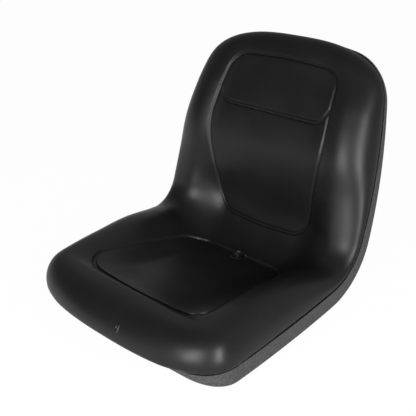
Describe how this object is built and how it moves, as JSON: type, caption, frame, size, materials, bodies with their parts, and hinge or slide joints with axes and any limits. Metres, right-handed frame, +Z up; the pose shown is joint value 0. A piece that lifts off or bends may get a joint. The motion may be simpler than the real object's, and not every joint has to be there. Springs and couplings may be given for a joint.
{
  "type": "ride on mower seat",
  "caption": "High-backed ride on mower seat: a black moulded vinyl bucket cushion in a textured black pressed steel pan with a flat bolt-down floor.",
  "frame": {"origin": "middle of the mounting bolts, on the underside of the pan floor", "axes": "+X to the sitter's left, -Y to the front of the seat, +Z up"},
  "size_m": [0.48, 0.5359, 0.4724],
  "materials": {
    "vinyl": "satin",
    "powder_coat": "matte",
    "sleeve_plastic": "matte",
    "zinc": "satin"
  },
  "bodies": {
    "root": {"cushion": "vinyl", "seat_pan": "powder_coat", "drain_sleeve": "sleeve_plastic", "weld_nuts": "powder_coat", "cushion_studs": "zinc", "stud_nuts": "zinc"}
  },
  "joints": []
}
